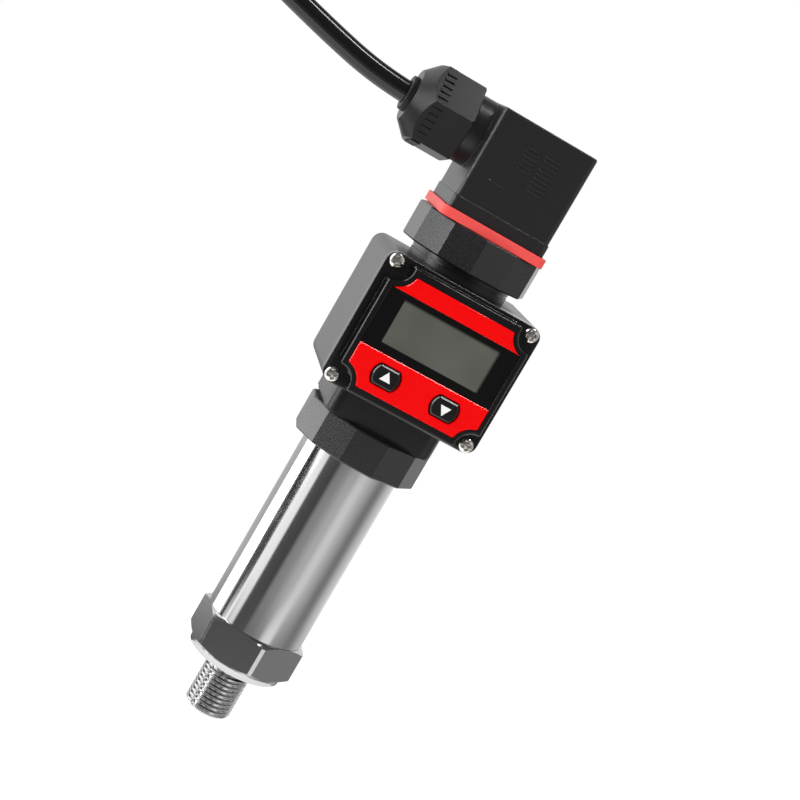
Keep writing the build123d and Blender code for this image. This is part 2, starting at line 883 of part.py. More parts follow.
# Plug shell with its skirt, fixing post, side boss and gland thread
cavity_top_z = shell_z1 - shell_top
block_z1 = upper_z1 + block_h
gland_face_x = -shell_w / 2 - gland_boss_l
gland_end_x = gland_face_x - gland_thread_l
seal_seat_x = gland_end_x + gland_bore_l
with BuildPart() as plug_shell:
    with BuildSketch(level(shell_z0)):
        RectangleRounded(shell_w, shell_w, shell_r)
    extrude(amount=shell_h)
    fillet(plug_shell.faces().sort_by(Axis.Z)[-1].edges(), radius=shell_edge)
    with BuildSketch(level(shell_z0)):
        RectangleRounded(skirt_w, skirt_w, skirt_r)
    extrude(amount=skirt_h)
    with BuildSketch(gland(-shell_w / 2 + shell_wall / 2)):
        Circle(gland_boss_r)
    extrude(amount=gland_boss_l + shell_wall / 2)
    with BuildSketch(gland(gland_face_x)):
        Circle(gland_thread_r)
    extrude(amount=gland_thread_l)
    with BuildSketch(level(shell_z0)):
        Rectangle(plug_cavity_w, plug_cavity_w)
    extrude(amount=block_z1 - shell_z0, mode=Mode.SUBTRACT)
    with BuildSketch(level(block_z1)):
        Rectangle(plug_cavity_w, plug_cavity_w)
        Circle(fixing_post_r, mode=Mode.SUBTRACT)
    extrude(amount=cavity_top_z - block_z1, mode=Mode.SUBTRACT)
    with BuildSketch(level(shell_z1)):
        Circle(fixing_bore_r)
    extrude(amount=-fixing_bore_d, mode=Mode.SUBTRACT)
    with BuildSketch(level(block_z1)):
        Circle(screw_r + hole_fit)
    extrude(amount=shell_z1 - block_z1, mode=Mode.SUBTRACT)
    with BuildSketch(gland(gland_end_x)):
        Circle(gland_bore_r)
    extrude(amount=-gland_bore_l, mode=Mode.SUBTRACT)
    with BuildSketch(gland(seal_seat_x)):
        Circle(gland_way_r)
    extrude(amount=seal_seat_x + plug_cavity_w / 2 - fit, mode=Mode.SUBTRACT)
finish(plug_shell, "plug_shell")

# Terminal block inside the plug, standing on the upper base
terminal_hole_r = terminal_r + screw_fit
with BuildPart() as terminal_block:
    with BuildSketch(level(upper_z1)):
        Rectangle(block_w, block_w)
    extrude(amount=block_h)
    with BuildSketch(level(upper_z1)):
        with PolarLocations(blade_circle_r, blade_count):
            Rectangle(blade_t + 2 * hole_fit, blade_w + 2 * hole_fit)
    extrude(amount=upper_blade_up + fit, mode=Mode.SUBTRACT)
    with BuildSketch(level(block_z1)):
        with PolarLocations(terminal_circle_r, 4, start_angle=45):
            Circle(terminal_hole_r)
    extrude(amount=terminal_proud - terminal_l, mode=Mode.SUBTRACT)
    with BuildSketch(level(upper_z1)):
        Circle(screw_r + hole_fit)
    extrude(amount=block_h, mode=Mode.SUBTRACT)
finish(terminal_block, "terminal_block")

# Clamp screws of the terminals
terminal_z1 = block_z1 + terminal_proud
with BuildPart() as terminal_screws:
    with BuildSketch(level(terminal_z1)):
        with PolarLocations(terminal_circle_r, 4, start_angle=45):
            Circle(terminal_r)
    extrude(amount=-terminal_l)
    with BuildSketch(level(terminal_z1)):
        with PolarLocations(terminal_circle_r, 4, start_angle=45):
            Rectangle(2 * terminal_r, slot_w)
    extrude(amount=-slot_d, mode=Mode.SUBTRACT)
finish(terminal_screws, "terminal_screws")

# Fixing screw through the plug and the seal under its head
fixing_seat_z = shell_z1 - fixing_bore_d
with BuildPart() as fixing_seal:
    with BuildSketch(level(fixing_seat_z)):
        Circle(fixing_head_r)
        Circle(screw_r + fit, mode=Mode.SUBTRACT)
    extrude(amount=fixing_seal_t)
finish(fixing_seal, "fixing_seal")

with BuildPart() as fixing_screw:
    with BuildSketch(level(fixing_seat_z + fixing_seal_t)):
        Circle(fixing_head_r)
    extrude(amount=fixing_head_t)
    with BuildSketch(level(fixing_seat_z + fixing_seal_t + fixing_head_t)):
        Rectangle(2 * fixing_head_r, slot_w)
    extrude(amount=-slot_d, mode=Mode.SUBTRACT)
    with BuildSketch(level(fixing_seat_z + fixing_seal_t)):
        Circle(screw_r)
    extrude(amount=upper_z1 - fixing_bite - fixing_seat_z - fixing_seal_t)
finish(fixing_screw, "fixing_screw")

# Gland: washer, seal and hexagonal nut on the shell's thread
gland_axis = Axis((0, 0, gland_z), (1, 0, 0))
seal_x0 = seal_seat_x - washer_t
nut_x0 = gland_face_x - nut_gap
nut_x1 = nut_x0 - nut_body_l
nut_x2 = nut_x1 - nut_cone_l
shoulder_x = nut_x2 + nut_shoulder_l
seal_r = gland_bore_r - hole_fit
seal_hole_r = cable_r + fit
seal_lip_r = nut_mouth_r - hole_fit
with BuildPart() as gland_washer:
    with BuildSketch(gland(seal_seat_x)):
        Circle(seal_r)
        Circle(washer_hole_r, mode=Mode.SUBTRACT)
    extrude(amount=washer_t)
finish(gland_washer, "gland_washer")

with BuildPart() as gland_seal:
    with BuildSketch(gland(seal_x0)):
        Circle(seal_r)
    extrude(amount=seal_x0 - shoulder_x)
    with BuildSketch(gland(shoulder_x)):
        Circle(seal_lip_r)
    extrude(amount=shoulder_x - nut_x2 + seal_lip_out)
    with BuildSketch(gland(seal_x0)):
        Circle(seal_hole_r)
    extrude(amount=seal_x0 - nut_x2 + seal_lip_out, mode=Mode.SUBTRACT)
finish(gland_seal, "gland_seal")

with BuildPart() as gland_nut:
    with BuildSketch(gland(nut_x0)):
        RegularPolygon(nut_af / 2, 6, major_radius=False, rotation=nut_turn)
    extrude(amount=nut_body_l + nut_cone_l)
    with BuildSketch(Plane.XZ):
        with BuildLine():
            Polyline(
                (nut_x0, gland_z),
                (nut_x0, gland_z + nut_corner_r - nut_edge),
                (nut_x0 - nut_edge, gland_z + nut_corner_r),
                (nut_x1, gland_z + nut_corner_r),
                (nut_x2, gland_z + nut_rim_r),
                (nut_x2, gland_z),
                close=True,
            )
        make_face()
    revolve(axis=gland_axis, mode=Mode.INTERSECT)
    with BuildSketch(gland(nut_x1 + rib_l)):
        with PolarLocations(nut_af / 2, 6, start_angle=nut_turn + 30):
            with GridLocations(1, rib_pitch, 1, rib_count):
                Rectangle(2 * rib_proud, rib_w)
    extrude(amount=rib_l)
    with BuildSketch(gland(nut_x0)):
        Circle(gland_thread_r + fit)
    extrude(amount=gland_thread_l + nut_gap, mode=Mode.SUBTRACT)
    with BuildSketch(gland(nut_x0)):
        Circle(gland_bore_r)
    extrude(amount=nut_x0 - shoulder_x, mode=Mode.SUBTRACT)
    with BuildSketch(gland(nut_x0)):
        Circle(nut_mouth_r)
    extrude(amount=nut_body_l + nut_cone_l, mode=Mode.SUBTRACT)
finish(gland_nut, "gland_nut")

# Cable end inside the gland, and its cores down to the terminals
cable_start_x = nut_x2 - seal_lip_out + cable_start
with BuildPart() as cable_entry:
    with BuildSketch(gland(cable_inner_x)):
        Circle(cable_r)
    extrude(amount=cable_inner_x - cable_start_x)
finish(cable_entry, "cable_entry")

with BuildPart() as plug_cores:
    for place in (-1, 0, 1):
        core_y = place * core_pitch
        with BuildLine() as core_path:
            FilletPolyline(
                (cable_inner_x, core_y, gland_z),
                (core_drop_x, core_y, gland_z),
                (core_drop_x, core_y, block_z1),
                radius=core_bend_r,
            )
        with BuildSketch(Plane(origin=core_path.line @ 0, z_dir=core_path.line % 0)):
            Circle(core_r)
        sweep(path=core_path.line)
finish(plug_cores, "plug_cores")

# Wires from the insert to the upper base
with BuildPart() as wire_loom:
    with BuildSketch(level(insert_z1)):
        with Locations(*loom_places):
            Circle(loom_wire_r)
    extrude(amount=upper_z0 - insert_z1)
finish(wire_loom, "wire_loom")


def tube_path(points):
    """Straight runs joined by the largest arcs that they allow."""
    radii = []
    for before, here, after in zip(points, points[1:], points[2:]):
        run_in = Vector(*here) - Vector(*before)
        run_out = Vector(*after) - Vector(*here)
        turn = run_in.get_angle(run_out)
        radii.append(0.45 * min(run_in.length, run_out.length) / tan(radians(turn / 2)))
    print("arc radii", [round(r) for r in radii])
    with BuildLine() as line:
        FilletPolyline(*points, radius=radii)
    return line.wires()[0]


# Cable from the gland to its coil
run_path = tube_path([(cable_start_x, 0, gland_z), *cable_route])
with BuildPart() as cable_run:
    with BuildSketch(Plane(origin=run_path @ 0, z_dir=run_path % 0)):
        Circle(cable_r)
    sweep(path=run_path)
finish(cable_run, "cable_run")
print("cable run", round(run_path.length, 1), "volume ratio",
      round(cable_run.part.volume / (pi * cable_r**2 * run_path.length), 4))

# Coil of the spare length, hanging in the plane of the display head
coil_depth = 2 * cable_r * coil_rows + coil_slack
coil_height = 2 * cable_r * coil_layers + coil_slack
with BuildPart() as cable_coil:
    with BuildSketch(level(coil_z)):
        with Locations((coil_x + coil_r, 0)):
            RectangleRounded(coil_height, coil_depth, cable_r - fit)
    revolve(axis=Axis((coil_x, 0, coil_z), (0, 1, 0)))
finish(cable_coil, "cable_coil")

# Tie round the coil at its top
tie_inner_d = coil_depth + 2 * fit
tie_inner_h = coil_height + 2 * fit
with BuildPart() as coil_tie:
    with BuildSketch(Plane.YZ.offset(coil_x - tie_w / 2)):
        with Locations((0, coil_z + coil_r)):
            RectangleRounded(tie_inner_d + 2 * tie_t, tie_inner_h + 2 * tie_t, cable_r + tie_t)
            RectangleRounded(tie_inner_d, tie_inner_h, cable_r - fit, mode=Mode.SUBTRACT)
        with Locations((0, coil_z + coil_r + tie_inner_h / 2 + tie_t + tie_head / 4)):
            Rectangle(tie_head, tie_head / 2 + tie_t)
    extrude(amount=tie_w)
finish(coil_tie, "coil_tie")

# Loose end of the cable below the coil, and its three cores
tail_path = tube_path(list(tail_route))
with BuildPart() as cable_tail:
    with BuildSketch(Plane(origin=tail_path @ 0, z_dir=tail_path % 0)):
        Circle(cable_r)
    sweep(path=tail_path)
finish(cable_tail, "cable_tail")
print("tail", round(tail_path.length, 1), "coil", round(coil_layers * coil_rows * 2 * pi * coil_r, 1))

with BuildPart() as core_wires:
    with BuildSketch(Plane(origin=tail_path @ 1, z_dir=tail_path % 1)):
        with PolarLocations(2 * bare_core_r, 3):
            Circle(bare_core_r)
    extrude(amount=bare_core_l)
finish(core_wires, "core_wires")
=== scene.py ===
from math import cos, pi, radians, sin

import bmesh
import bpy
import numpy as np
from mathutils import Matrix, Vector


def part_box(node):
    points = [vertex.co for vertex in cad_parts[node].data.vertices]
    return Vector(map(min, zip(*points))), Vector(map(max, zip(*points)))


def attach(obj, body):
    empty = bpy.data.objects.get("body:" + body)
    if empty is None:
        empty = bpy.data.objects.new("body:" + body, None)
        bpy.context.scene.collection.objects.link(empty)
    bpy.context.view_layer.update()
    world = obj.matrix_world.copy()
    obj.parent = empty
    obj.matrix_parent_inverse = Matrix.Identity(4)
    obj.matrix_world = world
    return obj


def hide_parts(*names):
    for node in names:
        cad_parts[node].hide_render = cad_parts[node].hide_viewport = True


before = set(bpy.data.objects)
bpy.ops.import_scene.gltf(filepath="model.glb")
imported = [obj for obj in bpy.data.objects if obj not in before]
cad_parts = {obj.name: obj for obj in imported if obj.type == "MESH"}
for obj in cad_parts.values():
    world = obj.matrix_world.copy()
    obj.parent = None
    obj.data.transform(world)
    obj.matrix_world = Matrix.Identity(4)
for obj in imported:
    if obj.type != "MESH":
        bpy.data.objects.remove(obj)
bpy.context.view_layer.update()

# Process port: one bar of stainless steel, turned and then milled to a hexagon. The thread is cut
# last, 19 turns to the inch, with its crests a little rounded. The tool leaves fine rings, which
# draw every reflection out along the axis.
MM = 0.001


def linear(code):
    """Linear colour from an sRGB hex code: a power curve with a straight foot."""
    levels = [int(code[i:i + 2], 16) / 255 for i in (1, 3, 5)]
    return tuple(c / 12.92 if c <= 0.04045 else ((c + 0.055) / 1.055) ** 2.4 for c in levels) + (1.0,)


def add_node(tree, kind, settings=None, **links):
    """Adds a node, sets its properties from settings, and feeds each named input a value or a socket."""
    node = tree.nodes.new(kind)
    for key, value in (settings or {}).items():
        setattr(node, key, value)
    for key, value in links.items():
        socket = node.inputs[int(key[1:])] if key[1:].isdigit() else node.inputs[key.replace("_", " ")]
        if isinstance(value, bpy.types.NodeSocket):
            tree.links.new(value, socket)
        else:
            socket.default_value = value
    return node


def finish_of(name, colour, roughness, metallic=0.0, **more):
    """A named finish with its tree, its shader, and the object's own coordinates in millimetres."""
    made = bpy.data.materials.new(name)
    made.use_nodes = True
    tree = made.node_tree
    shader = tree.nodes["Principled BSDF"]
    shader.inputs["Base Color"].default_value = linear(colour)
    shader.inputs["Roughness"].default_value = roughness
    shader.inputs["Metallic"].default_value = metallic
    for key, value in more.items():
        shader.inputs[key.replace("_", " ")].default_value = value
    place = add_node(tree, "ShaderNodeTexCoord")
    scaled = add_node(tree, "ShaderNodeMapping", Vector=place.outputs["Object"], Scale=(1000, 1000, 1000))
    return made, tree, shader, scaled.outputs["Vector"]


def grain(tree, shader, place, size_mm, stretch, depth_mm, vary=0.0, detail=2.0):
    """Fine relief: noise of the given grain size, drawn out along each axis by stretch. The same
    noise, which keeps to about 0.3 to 0.7, lets the roughness go up and down by vary."""
    per_grain = tuple(1 / (size_mm * s) for s in stretch)
    scaled = add_node(tree, "ShaderNodeMapping", Vector=place, Scale=per_grain)
    noise = add_node(tree, "ShaderNodeTexNoise", Vector=scaled.outputs["Vector"], Scale=1.0, Detail=detail)
    bump = add_node(tree, "ShaderNodeBump", Height=noise.outputs["Fac"], Strength=1.0,
                    Distance=depth_mm * MM)
    tree.links.new(bump.outputs["Normal"], shader.inputs["Normal"])
    if vary:
        middle = shader.inputs["Roughness"].default_value
        spread = add_node(tree, "ShaderNodeMapRange", Value=noise.outputs["Fac"], From_Min=0.3, From_Max=0.7,
                          To_Min=middle - vary, To_Max=middle + vary)
        tree.links.new(spread.outputs["Result"], shader.inputs["Roughness"])


def once_round(steps):
    """The angles of even steps once round, as a column, so that a row can hold a profile."""
    return np.linspace(0, 2 * pi, steps + 1)[:-1, None]


def add_grid(work, points, close_u=False, close_v=False):
    """Adds a grid of points in millimetres to a bmesh. Each four neighbours make a face, and a
    closed direction joins its last row to its first."""
    rows, columns = points.shape[:2]
    i, j = np.meshgrid(np.arange(rows - 1 + close_u), np.arange(columns - 1 + close_v), indexing="ij")
    here, there = i * columns, (i + 1) % rows * columns
    beside = (j + 1) % columns
    faces = np.stack([here + j, there + j, there + beside, here + beside], -1).reshape(-1, 4)
    mesh = bpy.data.meshes.new("grid")
    mesh.from_pydata(points.reshape(-1, 3) * MM, [], faces)
    work.from_mesh(mesh)
    bpy.data.meshes.remove(mesh)


def welded(node):
    """The CAD node's mesh as a bmesh, its loose triangles welded and its flat faces joined."""
    work = bmesh.new()
    work.from_mesh(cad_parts[node].data)
    bmesh.ops.remove_doubles(work, verts=work.verts, dist=0.002 * MM)
    bmesh.ops.dissolve_limit(work, angle_limit=radians(0.3), verts=work.verts, edges=work.edges)
    return work


def made_of(work, name, finish, edge_mm=0.0, edge_angle=32, flat=False, clamp=True):
    """A smooth-shaded piece from a bmesh. Edges sharper than edge_angle are rounded over edge_mm, and
    stay sharp where that is 0. With flat each is broken by one flat, which clamp keeps clear of its
    neighbours."""
    mesh = bpy.data.meshes.new(name)
    if flat:
        sharp = [e for e in work.edges if e.calc_face_angle(0) > radians(edge_angle)]
        bmesh.ops.bevel(work, geom=sharp, offset=edge_mm * MM, segments=1, affect="EDGES",
                        clamp_overlap=clamp)
    work.to_mesh(mesh)
    work.free()
    mesh.materials.append(finish)
    mesh.shade_smooth()
    piece = bpy.data.objects.new(name, mesh)
    bpy.context.scene.collection.objects.link(piece)
    if edge_mm and not flat:
        edges = piece.modifiers.new("edges", "BEVEL")
        edges.width = edge_mm * MM
        edges.segments = 3
        edges.limit_method = "ANGLE"
        edges.angle_limit = radians(edge_angle)
        edges.harden_normals = True
        flats = piece.modifiers.new("flats", "WEIGHTED_NORMAL")
        flats.weight = 100
    else:
        mesh.set_sharp_from_angle(angle=radians(edge_angle))
    return piece


def join_up(piece, nodes, body="transmitter"):
    """Gives a piece its body, and hides the CAD nodes that it stands for."""
    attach(piece, body)
    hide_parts(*nodes)
    return piece


turned_steel, tree, shader, place = finish_of("turned stainless steel", "#BEBEBF", 0.14, 1.0)
grain(tree, shader, place, 0.12, (40, 40, 1), 0.0006, 0.04)

thread_crest, thread_root, thread_pitch, thread_rows = 6.5785, 5.72, 25.4 / 19, 230
thread_end, thread_top, relief_r, runout, flank_slope = -16.0, -2.4, 5.6, 0.8, 2.7
end_bevel, end_rim, end_face_r, inlet_r = 1.2, 0.4, 3.0, 1.75
turn = once_round(96)
height = np.linspace(thread_end, thread_top, thread_rows)
# The ridge rises and falls once in each pitch along the axis, and its phase turns with the angle. It
# is a triangle wave, cut off at crest and root and eased between them.
phase = (height / thread_pitch - turn / (2 * pi)) % 1.0
ridge = np.clip(flank_slope * (0.5 - np.abs(phase - 0.5)), 0, 1)
ridge = ridge * ridge * (3 - 2 * ridge)
radius = thread_root + (thread_crest - thread_root) * ridge
radius = np.minimum(radius, thread_crest - end_bevel + (height - thread_end))
radius = relief_r + (radius - relief_r) * np.clip((thread_top - height) / runout, 0, 1)
end_r = np.tile([inlet_r, end_face_r, thread_crest - end_bevel - end_rim], (len(turn), 1))
# The plain stub of the solid goes, up to the thread's top. The wall of the inlet inside it stays.
work = welded("process_port")
stub = [f for f in work.faces if f.calc_center_median().z < (thread_top + 0.05) * MM and
        (f.calc_center_median().xy.length > relief_r / 2 * MM or f.normal.z < -0.5)]
bmesh.ops.delete(work, geom=stub, context="FACES")
radius = np.hstack([end_r, radius])
height = np.concatenate([np.full(3, thread_end), height])
add_grid(work, np.stack([radius * np.cos(turn), radius * np.sin(turn), height + 0 * turn], -1), close_u=True)
# The threaded surface is joined to the rims that the stub leaves, at the inlet and above the thread.
for rim_z, near in ((thread_end, 1.0), (thread_top, 0.1)):
    rims = [e for e in work.edges if e.is_boundary and abs(e.verts[0].co.z / MM - rim_z) < near]
    bmesh.ops.bridge_loops(work, edges=rims)
bmesh.ops.recalc_face_normals(work, faces=work.faces)
port = made_of(work, "turned_port", turned_steel, edge_angle=20)
join_up(port, ["process_port"])

# Measuring cell: a sintered ceramic disc with four gilt pins, on a rubber seal and under a turned
# clamp ring. A print on amber film takes its signals up to the board. Ceramic and rubber are matt,
# and the film shows its tracks as darker lines.


def dress(node, finish):
    """Gives a CAD node that stays as it is its finish, in the object's own slots."""
    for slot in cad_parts[node].material_slots:
        slot.link = "OBJECT"
        slot.material = finish


def where(tree, place, axis, side, level):
    """1 where the coordinate along an axis lies on the given side of a level, and 0 elsewhere."""
    split = add_node(tree, "ShaderNodeSeparateXYZ", Vector=place)
    return add_node(tree, "ShaderNodeMath", {"operation": side}, _0=split.outputs[axis], _1=level).outputs[0]


def lay_over(tree, shader, mask, colour):
    """Lays another colour over a finish's own, as far as the mask goes from 0 to 1."""
    base = shader.inputs["Base Color"]
    under = base.links[0].from_socket if base.links else tuple(base.default_value)
    tint = add_node(tree, "ShaderNodeMix", {"data_type": "RGBA"}, _0=mask, _6=under, _7=linear(colour))
    tree.links.new(tint.outputs[2], base)


rubber, tree, shader, place = finish_of("moulded black rubber", "#151414", 0.6)
grain(tree, shader, place, 0.3, (1, 1, 1), 0.004, 0.05)
dress("cell_seal", rubber)
dress("cell_retainer", turned_steel)
ceramic, tree, shader, place = finish_of("sintered white ceramic", "#E9E5DC", 0.5)
grain(tree, shader, place, 0.15, (1, 1, 1), 0.002)
cell_top = 10.81
is_pin = where(tree, place, "Z", "GREATER_THAN", cell_top)
lay_over(tree, shader, is_pin, "#D8B25C")
tree.links.new(is_pin, shader.inputs["Metallic"])
dress("sensor_cell", ceramic)
film, tree, shader, place = finish_of("amber polyimide film", "#B9721C", 0.3)
# At scale 1 a wave comes back after 2 pi / 20, so this size puts the tracks 0.5 mm apart.
wave_mm = 1.6
scaled = add_node(tree, "ShaderNodeMapping", Vector=place, Scale=(1 / wave_mm,) * 3)
tracks = add_node(tree, "ShaderNodeTexWave", Vector=scaled.outputs["Vector"], Scale=1.0)
lay_over(tree, shader, tracks.outputs["Fac"], "#7C420F")
dress("sensor_flex", film)

# Signal board: glass cloth board under green lacquer, with black parts soldered on its front, as on
# the display's board. A disc of black nylon holds its lower end. The lacquer is glossy over the
# weave, and the nylon has a soft sheen.
nylon, tree, shader, place = finish_of("moulded black nylon", "#181617", 0.3, Specular_IOR_Level=0.2)
grain(tree, shader, place, 0.3, (1, 1, 1), 0.001, 0.03)
dress("board_carrier", nylon)
board_half_t, display_board_y = 0.85, -17.5
for node, face_y in (("signal_board", -board_half_t), ("display_board", display_board_y)):
    lacquer, tree, shader, place = finish_of(f"{node} green lacquer", "#14512E", 0.3)
    grain(tree, shader, place, 0.4, (1, 1, 1), 0.003, 0.05)
    lay_over(tree, shader, where(tree, place, "Y", "LESS_THAN", face_y), "#1A1A1B")
    dress(node, lacquer)

# Sensor tube: thin stainless steel, drawn and polished. It mirrors the room in long upright bands,
# and the marks of drawing soften their edges.
drawn_steel, tree, shader, place = finish_of("drawn stainless steel", "#C6C6C6", 0.1, 1.0)
grain(tree, shader, place, 0.25, (1, 1, 60), 0.001, 0.03, 3.0)
tube_low, tube_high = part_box("sensor_tube")
tube_r, tube_bore_r, tube_edge = 14.0, 12.8, 0.15
tube_z0, tube_z1 = tube_low.z / MM, tube_high.z / MM
tube_z = np.array([tube_z0, tube_z0, tube_z0 + tube_edge, tube_z1, tube_z1, tube_z0 + tube_edge])
radius = np.array([tube_bore_r, tube_r - tube_edge, tube_r, tube_r, tube_bore_r, tube_bore_r])
turn = once_round(192)
work = bmesh.new()
# The wall's section, walked once round, is turned about the axis.
add_grid(work, np.stack([radius * np.cos(turn), radius * np.sin(turn), tube_z + 0 * turn], -1), True, True)
join_up(made_of(work, "drawn_tube", drawn_steel, edge_angle=30), ["sensor_tube"])
dress("tube_seal", rubber)

# Twelve-sided bases: metal under a thin black coat, one below the display head and one above it.
# The coat leaves the edges crisp, and each facet shows one even tone. Their blades are brass, pale
# and a little streaked from tinning.


def edged(node, name, finish, slot, edge_mm, body="transmitter", **edges):
    """A piece in a CAD node's own shape with its edges broken, which stands for that node."""
    return join_up(made_of(welded(node), name, finish, edge_mm, **edges), [node], body)


coated, tree, shader, place = finish_of("black coated metal", "#1F1E20", 0.28, Specular_IOR_Level=0.66)
grain(tree, shader, place, 0.35, (1, 1, 1), 0.0003, 0.03)
for node in ("lower_base", "upper_base"):
    edged(node, f"{node}_coated", coated, "base_metal", 0.12, edge_angle=20)
tinned, tree, shader, place = finish_of("tinned brass", "#D2CFC6", 0.3, 1.0)
grain(tree, shader, place, 0.2, (1, 1, 12), 0.002, 0.05)
dress("lower_blades", tinned)
dress("upper_blades", tinned)

# Display housing: one moulding in black plastic with its neck, box and upper boss. The mould was
# spark-eroded, which gives a fine satin. A rubber gasket lies under the neck, and a bright screw
# holds the nylon insert of its contacts.
moulded, tree, shader, place = finish_of("moulded black plastic", "#131112", 0.34)
grain(tree, shader, place, 0.25, (1, 1, 1), 0.003, 0.05)
edged("neck_gasket", "neck_gasket_cut", rubber, "seal_black", 0.1)
edged("display_housing", "housing_moulding", moulded, "housing_black", 0.2)
zinc, tree, shader, place = finish_of("zinc plated steel", "#C9CBCB", 0.3, 1.0)
grain(tree, shader, place, 0.15, (1, 1, 1), 0.001, 0.05)
dress("neck_insert", nylon)
dress("neck_screw", zinc)

# Display cover: a moulded flange with a raised bezel, notched round the four screws. It is polished
# brighter than the housing, so its edges draw thin white lines.
polished, tree, shader, place = finish_of("polished black plastic", "#110F10", 0.13)
grain(tree, shader, place, 0.6, (1, 1, 1), 0.0004, 0.03)
edged("display_cover", "cover_moulding", polished, "cover_black", 0.15, flat=True)
dress("cover_gasket", rubber)

# Red label: a printed overlay in two pieces, above the window and below it. The print lies under
# clear film, so the colour is even, and the film's sloped edge catches the light.
red_film, tree, shader, place = finish_of("red printed overlay", "#F20002", 0.18, Specular_IOR_Level=0.26)
grain(tree, shader, place, 0.9, (1, 1, 1), 0.0004, 0.04)
for node in ("upper_label", "lower_label"):
    edged(node, f"{node}_film", red_film, "label_red", 0.2, flat=True, clamp=False)

# Window: a cut sheet of clear acrylic, printed black behind. The print leaves a field open over the
# display, whose grey polariser shows there in soft clouds.
acrylic, tree, shader, place = finish_of("black printed acrylic with painted shade", "#070607", 0.07)
grain(tree, shader, place, 6.0, (1, 1, 1), 0.002)
field_left, field_right, field_low, field_high = -13.9, 13.9, 99.2, 111.2
print_edge, painted_shade_width, cloud_mm = 0.12, 0.9, 14
# The field is darkened by painted shade along its right and upper sides, a soft fall-off in place of the
# print's shadow on the display behind it, and cut off sharply along the others.
split = add_node(tree, "ShaderNodeSeparateXYZ", Vector=place)
inside = 1.0
for axis, foot, head in (("X", field_left - print_edge, field_left + print_edge),
                         ("X", field_right + print_edge, field_right - painted_shade_width),
                         ("Z", field_low - print_edge, field_low + print_edge),
                         ("Z", field_high + print_edge, field_high - painted_shade_width)):
    step = add_node(tree, "ShaderNodeMapRange", {"interpolation_type": "SMOOTHSTEP"},
                    Value=split.outputs[axis], From_Min=foot, From_Max=head)
    both = add_node(tree, "ShaderNodeMath", {"operation": "MULTIPLY"}, _0=inside, _1=step.outputs[0])
    inside = both.outputs[0]
clouds = add_node(tree, "ShaderNodeTexNoise", Vector=place, Scale=1 / cloud_mm, Detail=1.0)
polariser = add_node(tree, "ShaderNodeMix", {"data_type": "RGBA"}, _0=clouds.outputs["Fac"],
                     _6=linear("#4A4A46"), _7=linear("#66665F"))
tint = add_node(tree, "ShaderNodeMix", {"data_type": "RGBA"}, _0=inside, _6=linear("#070607"),
                _7=polariser.outputs[2])
tree.links.new(tint.outputs[2], shader.inputs["Base Color"])
edged("window", "window_acrylic", acrylic, "window_black", 0.1)

# Display: a liquid crystal panel in a black frame on its board, held by four screws, with two key
# switches behind the buttons. The glass is bright and smooth, and nylon round it dull.
glass, tree, shader, place = finish_of("liquid crystal glass", "#6B6B64", 0.12)
grain(tree, shader, place, 8.0, (1, 1, 1), 0.002, 0.02)
dress("lcd_panel", glass)
dress("lcd_frame", nylon)
dress("board_screws", zinc)
dress("key_switches", nylon)

# Buttons: caps moulded in black plastic, which stand proud of the label and shine along their rims.
# Each has an arrow printed on it in matt white.


def sealed(work):
    """A bmesh with the points of its poles merged and all its faces pointing outwards."""
    bmesh.ops.remove_doubles(work, verts=work.verts, dist=0.001 * MM)
    bmesh.ops.recalc_face_normals(work, faces=work.faces)
    return work


cap_plastic, tree, shader, place = finish_of("glossy black cap", "#0E0C0D", 0.22)
grain(tree, shader, place, 0.5, (1, 1, 1), 0.001, 0.03)
arrow_print, tree, shader, place = finish_of("white print", "#F4F3F1", 0.45)
grain(tree, shader, place, 0.2, (1, 1, 1), 0.002, 0.05)
arrow_side, arrow_lift, arrow_root = 3.0, 0.03, 0.02
for node, upward in (("button_up", 1), ("button_down", -1)):
    edged(node, f"{node}_cap", cap_plastic, "button_black", 0.08, body=node)
    low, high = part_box(node)
    # Three corners about the cap's middle, shrunk to nothing on the back and on the front.
    corner = np.radians(np.array([90, 210, 330]) * upward)[::upward, None]
    spread = np.array([0, 1, 1, 0]) * arrow_side / 3**0.5
    depth = np.array([arrow_root, arrow_root, -arrow_lift, -arrow_lift]) + low.y / MM
    arrow = np.stack([(low.x + high.x) / 2 / MM + spread * np.cos(corner), depth + 0 * corner,
                      (low.z + high.z) / 2 / MM + spread * np.sin(corner)], -1)
    work = bmesh.new()
    add_grid(work, arrow, close_u=True)
    arrow = made_of(sealed(work), f"{node}_arrow", arrow_print)
    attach(arrow, node)

# Cover screws: four of steel with domed heads, nickel plated to a warm, bright shine. The cross
# recess has sloping walls and is deepest in the middle.
nickel, tree, shader, place = finish_of("nickel plated steel", "#E4E0DA", 0.2, 1.0)
grain(tree, shader, place, 0.2, (1, 1, 1), 0.002, 0.05)
head_r, head_t, shaft_r, head_rows = 2.0, 0.95, 1.0, 44
dome_shoulder, dome_fall, rim_crowding = 2.6, 0.55, 0.8
slot_half_w, slot_reach, slot_depth, slot_wall, slot_end = 0.48, 1.45, 1.0, 0.14, 0.5
cross_turn = radians(20)
screw_low, screw_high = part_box("cover_screws")
reach = head_r * np.linspace(1, 0, head_rows) ** rim_crowding
turn = once_round(120)
along, across = np.abs(reach * np.cos(turn - cross_turn)), np.abs(reach * np.sin(turn - cross_turn))
